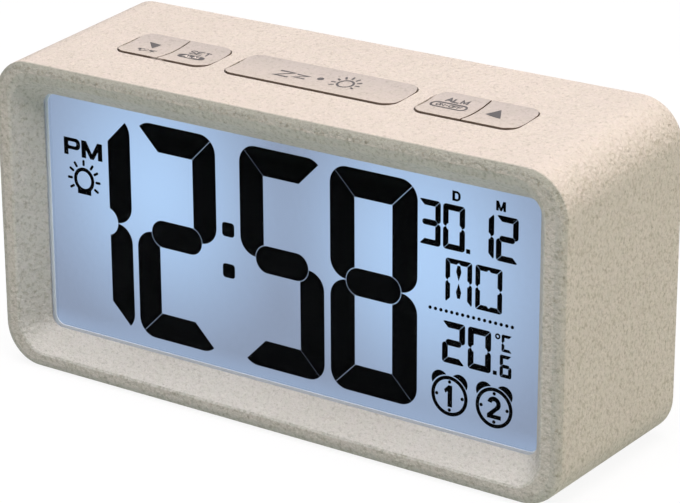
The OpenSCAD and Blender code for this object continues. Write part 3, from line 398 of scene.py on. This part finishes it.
def make_materials():
    """Gives each CAD node its material."""
    case = case_plastic("straw_case")
    key = key_plastic("straw_keys")
    board = circuit_board("board_green")
    white = moulded("white_film", (0.86, 0.87, 0.88), 0.5, spread=0.05)
    steel = metal("screw_steel", (0.62, 0.61, 0.6), 0.32)
    nickel = metal("nickel_strip", (0.7, 0.68, 0.63), 0.28, LINES_ALONG_Z)
    polariser = sheer("polariser_film", (0.05, 0.06, 0.07), 0.012, 0.25)
    lead = moulded("lead_red_brown", (0.42, 0.05, 0.04), 0.45)
    segment = moulded("segment_black", (0.002, 0.002, 0.0025), 0.8, Specular_IOR_Level=0.0)
    plunger = moulded("plunger_grey", (0.2, 0.2, 0.21), 0.4)
    table = {
        "case_shell": case,
        "rear_cover": case,
        "battery_door": case,
        "display_window": sheer("clear_window", (0.2, 0.22, 0.24), 0.006, 0.06),
        # The gasket's faint emission is a painted glow of the display's light falling on it
        "display_gasket": moulded("gasket_painted_glow", (0.8, 0.84, 0.87), 0.5, spread=0.06,
                                  Emission_Color=(0.7, 0.82, 0.95, 1), Emission_Strength=0.12),
        "front_polariser": polariser,
        "rear_polariser": polariser,
        "front_glass": sheer("front_glass", (0.1, 0.12, 0.14), 0.006, 0.08),
        "rear_glass": lit_display("lit_display", 1.0),
        # The seal carries the display's glow as painted light, where it would lie in shade
        "cell_seal": lit_display("seal_painted_glow", 0.9),
        "time_segments": segment,
        "date_segments": segment,
        "temperature_segments": segment,
        "sign_segments": segment,
        "diffuser_film": white,
        "reflector_sheet": white,
        "light_guide": moulded("light_guide", (0.82, 0.88, 0.92), 0.12, spread=0.04),
        "backlight_lamps": moulded("lamp_yellow", (0.85, 0.72, 0.2), 0.3),
        "display_frame": moulded("frame_white", (0.8, 0.8, 0.79), 0.45, spread=0.06),
        "contact_strip": moulded("elastomer_pink", (0.72, 0.42, 0.38), 0.6),
        "main_board": board,
        "key_board": board,
        "chip_blob": moulded("resin_black", (0.012, 0.012, 0.013), 0.22),
        "quartz_crystal": metal("crystal_can", (0.75, 0.75, 0.74), 0.22),
        "chip_parts": moulded("chip_tan", (0.4, 0.3, 0.2), 0.4),
        "temperature_sensor": moulded("sensor_black", (0.02, 0.02, 0.022), 0.35),
        "board_screws": steel,
        "key_board_screws": steel,
        "cover_screws": steel,
        "switch_bodies": moulded("black_plastic", (0.03, 0.03, 0.032), 0.45),
        "ribbon_cable": ribbon_lines("ribbon_grey"),
        "buzzer": moulded("buzzer_black", (0.025, 0.025, 0.028), 0.4),
        "buzzer_leads": lead,
        "battery_leads": lead,
        "battery_cells": cell_wrapper("cell_wrapper"),
        "battery_plate": nickel,
        "battery_leaf": nickel,
        "battery_link": nickel,
    }
    for key_name in KEYS:
        table[key_name + "_key"] = key
        table[key_name + "_plunger"] = plunger
    for name, obj in NODES.items():
        obj.data.materials.clear()
        obj.data.materials.append(table[name])


# Signs printed on the keys, drawn as strokes on their dished tops. The sheet that they are drawn on is flat and
# level, in millimetres. These are the keys' measures in part.scad: the dish, and the turn of the top to its slope.
KEY_Y = -1.3
KEY_TOP = 68.75
DISH = 0.45
DISH_R = 31.436
DISH_REACH = 5.3
RISE = 0.07584
RUN = 0.99712
TURN_Y = -42.5
TURN_Z = 57.9
LEVEL_Z = 59.4
INK = 0.03


def on_key(x, y):
    """The place on the keys' tops of a point of the flat sheet, in metres."""
    reach = min(abs(y - KEY_Y), DISH_REACH)
    z = KEY_TOP - DISH + DISH_R - math.sqrt(DISH_R ** 2 - reach ** 2) + INK
    back = y - TURN_Y
    rise = z - LEVEL_Z
    return Vector((x, TURN_Y + back * RUN - rise * RISE, TURN_Z + back * RISE + rise * RUN)) * MM


# The share of a letter's step that the letter takes, and that the space after it takes
LETTER_SHARE = 0.78
SPACE_SHARE = 0.22
# How far the first and last row of a filled shape stay inside its outline
ROW_INSET = 1e-6
# The least cosine at a corner of a stroke, so that a sharp mitre stays short
LEAST_MITRE = 0.5


class Print:
    """Flat ink on one key, built from strips and filled shapes."""

    def __init__(self, name, body, material):
        self.name = name
        self.body = body
        self.material = material
        self.bm = bmesh.new()

    def face(self, points):
        """One face that looks up."""
        area = sum(a[0] * b[1] - b[0] * a[1] for a, b in zip(points, points[1:] + points[:1]))
        if area < 0:
            points = points[::-1]
        self.bm.faces.new([self.bm.verts.new(on_key(x, y)) for x, y in points])

    def stroke(self, points, width, closed=False):
        """A line of even width, mitred at its corners."""
        pts = [Vector(p) for p in points]
        count = len(pts)
        left, right = [], []
        for i, p in enumerate(pts):
            before = pts[i - 1] if i or closed else None
            after = pts[(i + 1) % count] if i < count - 1 or closed else None
            a = (p - before).normalized() if before is not None else None
            b = (after - p).normalized() if after is not None else None
            a = a or b
            b = b or a
            normal = Vector((-a.y - b.y, a.x + b.x))
            normal.normalize()
            grow = 1 / max(LEAST_MITRE, normal.dot(Vector((-a.y, a.x))))
            left.append(p + normal * width / 2 * grow)
            right.append(p - normal * width / 2 * grow)
        last = count if closed else count - 1
        for i in range(last):
            j = (i + 1) % count
            self.face([tuple(left[i]), tuple(right[i]), tuple(right[j]), tuple(left[j])])

    def fill(self, outline, rows=8):
        """A filled convex outline, in rows that follow the dish."""
        ys = [p[1] for p in outline]
        low, high = min(ys), max(ys)
        cuts = [low + (high - low) * i / rows for i in range(rows + 1)]
        spans = [row_span(outline, min(max(y, low + ROW_INSET), high - ROW_INSET)) for y in cuts]
        for i in range(rows):
            (a0, a1), (b0, b1) = spans[i], spans[i + 1]
            self.face([(a0, cuts[i]), (a1, cuts[i]), (b1, cuts[i + 1]), (b0, cuts[i + 1])])

    def text(self, words, x0, x1, y0, y1, width):
        """Plain stroke letters that fill the box."""
        step = (x1 - x0) / (len(words) - SPACE_SHARE)
        for i, letter in enumerate(words):
            for line in LETTERS[letter]:
                self.stroke([(x0 + step * (i + LETTER_SHARE * u), y0 + (y1 - y0) * v) for u, v in line], width)

    def done(self):
        mesh = bpy.data.meshes.new(self.name)
        self.bm.to_mesh(mesh)
        self.bm.free()
        obj = bpy.data.objects.new(self.name, mesh)
        bpy.context.scene.collection.objects.link(obj)
        mesh.materials.append(self.material)
        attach(obj, self.body)


def row_span(outline, y):
    """The left and right end of a convex outline at one height."""
    xs = []
    for (ax, ay), (bx, by) in zip(outline, outline[1:] + outline[:1]):
        if (ay - y) * (by - y) <= 0 and ay != by:
            xs.append(ax + (bx - ax) * (y - ay) / (by - ay))
    return min(xs), max(xs)


def on_circle(cx, cy, r, degrees):
    turn = math.radians(degrees)
    return cx + r * math.cos(turn), cy + r * math.sin(turn)


def arc(cx, cy, r, start, end, count):
    return [on_circle(cx, cy, r, start + (end - start) * i / count) for i in range(count + 1)]


def pill(x0, x1, y0, y1):
    """An outline with half round ends."""
    r = (y1 - y0) / 2
    y = (y0 + y1) / 2
    return arc(x1 - r, y, r, -90, 90, 10) + arc(x0 + r, y, r, 90, 270, 10)


# Strokes of each letter in a box of one by one
LETTERS = {
    "A": [[(0, 0), (0.5, 1), (1, 0)], [(0.2, 0.35), (0.8, 0.35)]],
    "C": [[(1, 0.82), (0.72, 1), (0.3, 1), (0, 0.75), (0, 0.25), (0.3, 0), (0.72, 0), (1, 0.18)]],
    "E": [[(1, 1), (0, 1), (0, 0), (1, 0)], [(0, 0.5), (0.8, 0.5)]],
    "F": [[(1, 1), (0, 1), (0, 0)], [(0, 0.5), (0.8, 0.5)]],
    "L": [[(0, 1), (0, 0), (1, 0)]],
    "M": [[(0, 0), (0, 1), (0.5, 0.25), (1, 1), (1, 0)]],
    "N": [[(0, 0), (0, 1), (1, 0), (1, 1)]],
    "O": [[(0.3, 0), (0, 0.25), (0, 0.75), (0.3, 1), (0.7, 1), (1, 0.75), (1, 0.25), (0.7, 0), (0.3, 0)]],
    "S": [[(1, 0.85), (0.75, 1), (0.25, 1), (0, 0.8), (0.1, 0.58), (0.9, 0.42), (1, 0.2), (0.75, 0), (0.25, 0),
           (0, 0.15)]],
    "T": [[(0, 1), (1, 1)], [(0.5, 1), (0.5, 0)]],
    "Z": [[(0, 1), (1, 1), (0, 0), (1, 0)]],
    "/": [[(0.1, 0), (0.9, 1)]],
    "o": [[(0.3, 0.65), (0.3, 0.95), (0.8, 0.95), (0.8, 0.65), (0.3, 0.65)]],
    "-": [[(0.15, 0.5), (0.85, 0.5)]],
}

# The lamp sign on the snooze bar: its middle, its ring and the rays round its upper side, from right to left
SUN = (5.8, -0.7)
SUN_RADIUS = 1.7
SUN_WIDTH = 0.5
RAY_START = 2.35
RAY_END = 3.45
RAY_WIDTH = 0.48
RAY_TURNS = range(-30, 211, 30)


def make_prints():
    """The signs of the five keys. Boxes of text are left, right, front, back and the width of the strokes."""
    dark = moulded("print_grey", (0.13, 0.125, 0.125), 0.55, spread=0.2)
    pale = moulded("print_pale", (0.8, 0.72, 0.65), 0.55, spread=0.1)

    p = Print("print_down", "down_key", dark)
    p.fill([(-45.5, 0.7), (-42.7, -2.2), (-42.0, 0.6)])
    p.text("oC/oF", -45.3, -40.5, -4.7, -3.3, 0.32)
    p.done()

    p = Print("print_set", "set_key", dark)
    p.text("SET", -33.9, -28.9, -0.9, 0.6, 0.34)
    p.fill(pill(-35.3, -28.6, -3.7, -1.6))
    p.done()
    p = Print("print_set_light", "set_key", pale)
    p.text("ALM", -33.9, -30.1, -3.2, -2.15, 0.28)
    for v in p.bm.verts:
        v.co.z += INK * MM
    p.done()

    p = Print("print_snooze", "snooze_key", dark)
    p.text("Z", -10.5, -6.9, -2.9, -0.3, 0.6)
    p.text("Z", -6.1, -3.2, -2.2, -0.6, 0.55)
    p.fill(arc(-0.4, -0.6, 0.75, 0, 342, 19))
    p.stroke(arc(*SUN, SUN_RADIUS, 0, 350, 35), SUN_WIDTH, closed=True)
    for degrees in RAY_TURNS:
        p.stroke([on_circle(*SUN, RAY_START, degrees), on_circle(*SUN, RAY_END, degrees)], RAY_WIDTH)
    p.done()

    p = Print("print_alarm", "alarm_key", dark)
    p.text("ALM", 28.8, 33.7, 0.7, 2.1, 0.45)
    p.stroke(pill(26.9, 34.9, -2.4, -0.1), 0.5, closed=True)
    p.text("ON-OFF", 28.1, 33.8, -1.75, -0.7, 0.3)
    p.done()

    p = Print("print_up", "up_key", dark)
    p.fill([(39.4, -1.7), (43.6, -2.5), (41.4, 1.5)])
    p.done()


# Studio: a pale floor, soft lamps and the camera of the photograph

# Colours of the floor as it is seen and as it lights the object, and the share of plain white where it is seen
FLOOR_SEEN = (0.95, 0.95, 0.95)
FLOOR_BOUNCE = (0.51, 0.61, 0.58)
FLOOR_WHITE = 0.9
FLOOR_RADII = (0.0001, 0.6, 1.6, 3.0)
FLOOR_SIDES = 60
FLOOR_Z = -0.0002


def make_floor():
    bm = bmesh.new()
    rings = []
    for r in FLOOR_RADII:
        outline = [on_circle(0, 0, r, 360 * i / FLOOR_SIDES) for i in range(FLOOR_SIDES)]
        rings.append([bm.verts.new((x, y, FLOOR_Z)) for x, y in outline])
    for a, b in zip(rings, rings[1:]):
        for i in range(FLOOR_SIDES):
            j = (i + 1) % FLOOR_SIDES
            bm.faces.new((a[i], b[i], b[j], a[j]))
    mesh = bpy.data.meshes.new("floor")
    bm.to_mesh(mesh)
    bm.free()
    floor = bpy.data.objects.new("floor", mesh)
    bpy.context.scene.collection.objects.link(floor)
    mesh.materials.append(floor_material())


def floor_material():
    """White where it is seen, in mirrors and through glass too, with the object's shadow left in it."""
    s = Surface("floor_white", FLOOR_BOUNCE, 0.8, Specular_IOR_Level=0.1)
    glow = s.add("ShaderNodeEmission")
    glow.inputs["Strength"].default_value = 1.0
    rays = s.add("ShaderNodeLightPath").outputs
    seen = s.math("MAXIMUM", rays["Is Camera Ray"], rays["Is Glossy Ray"])
    seen = s.math("MAXIMUM", seen, rays["Is Transmission Ray"])
    s.tint(seen, FLOOR_SEEN)
    mix = s.add("ShaderNodeMixShader")
    s.link(s.math("MULTIPLY", seen, FLOOR_WHITE), mix.inputs["Fac"])
    s.link(s.shader.outputs["BSDF"], mix.inputs[1])
    s.link(glow.outputs["Emission"], mix.inputs[2])
    s.link(mix.outputs["Shader"], s.out.inputs["Surface"])
    return s.material


WORLD_FILL = 0.1
WORLD_SEEN = 1.0


def make_world():
    """A weak even fill, and white where the background is seen."""
    world = bpy.data.worlds.new("studio")
    bpy.context.scene.world = world
    world.use_nodes = True
    nodes, links = world.node_tree.nodes, world.node_tree.links
    nodes.clear()
    out = nodes.new("ShaderNodeOutputWorld")
    mix = nodes.new("ShaderNodeMixShader")
    for socket, strength in zip(mix.inputs[1:], (WORLD_FILL, WORLD_SEEN)):
        white = nodes.new("ShaderNodeBackground")
        white.inputs["Color"].default_value = (1, 1, 1, 1)
        white.inputs["Strength"].default_value = strength
        links.new(white.outputs[0], socket)
    rays = nodes.new("ShaderNodeLightPath")
    either = nodes.new("ShaderNodeMath")
    either.operation = "MAXIMUM"
    links.new(rays.outputs["Is Camera Ray"], either.inputs[0])
    links.new(rays.outputs["Is Transmission Ray"], either.inputs[1])
    links.new(either.outputs[0], mix.inputs["Fac"])
    links.new(mix.outputs[0], out.inputs["Surface"])


def area_lamp(name, place, aim, size, power, color):
    light = bpy.data.lights.new(name, "AREA")
    light.shape = "SQUARE"
    light.size = size
    light.energy = power
    light.color = color
    obj = bpy.data.objects.new(name, light)
    bpy.context.scene.collection.objects.link(obj)
    obj.location = place
    obj.rotation_euler = (Vector(aim) - Vector(place)).to_track_quat("-Z", "Y").to_euler()


def make_lamps():
    area_lamp("top_lamp", (0.1, -0.28, 1.3), (0, 0, 0.05), 1.2, 26, (1.0, 0.95, 0.98))
    area_lamp("right_lamp", (1.0, 0.45, 0.6), (0, 0, 0.03), 0.6, 5.2, (1.0, 0.85, 0.65))


# Camera: turns in radians, place in millimetres along its own axes, focal length and photo width in pixels
AZIMUTH, ELEVATION, ROLL = 0.6161813, 0.3526768, -0.0048153
ACROSS, ABOVE, AWAY = 2.47824, 30.50935, 601.71935
FOCAL = 2857.2248
PHOTO_WIDTH = 680
SENSOR_WIDTH = 36


def make_camera():
    """The camera stands off along a line of sight, with a small turn about it."""
    back = Vector((math.sin(AZIMUTH) * math.cos(ELEVATION), -math.cos(AZIMUTH) * math.cos(ELEVATION),
                   math.sin(ELEVATION)))
    right = Vector((math.cos(AZIMUTH), math.sin(AZIMUTH), 0))
    up = back.cross(right)
    x = math.cos(ROLL) * right + math.sin(ROLL) * up
    y = math.cos(ROLL) * up - math.sin(ROLL) * right
    data = bpy.data.cameras.new("camera")
    data.sensor_width = SENSOR_WIDTH
    data.lens = FOCAL / PHOTO_WIDTH * SENSOR_WIDTH
    data.clip_start = 0.01
    data.clip_end = 20
    cam = bpy.data.objects.new("camera", data)
    bpy.context.scene.collection.objects.link(cam)
    place = (ACROSS * x + ABOVE * y + AWAY * back) * MM
    cam.matrix_world = Matrix.Translation(place) @ Matrix((x, y, back)).transposed().to_4x4()
    bpy.context.scene.camera = cam


make_materials()
make_prints()
make_floor()
make_world()
make_lamps()
make_camera()
bpy.context.scene.view_settings.view_transform = "Standard"
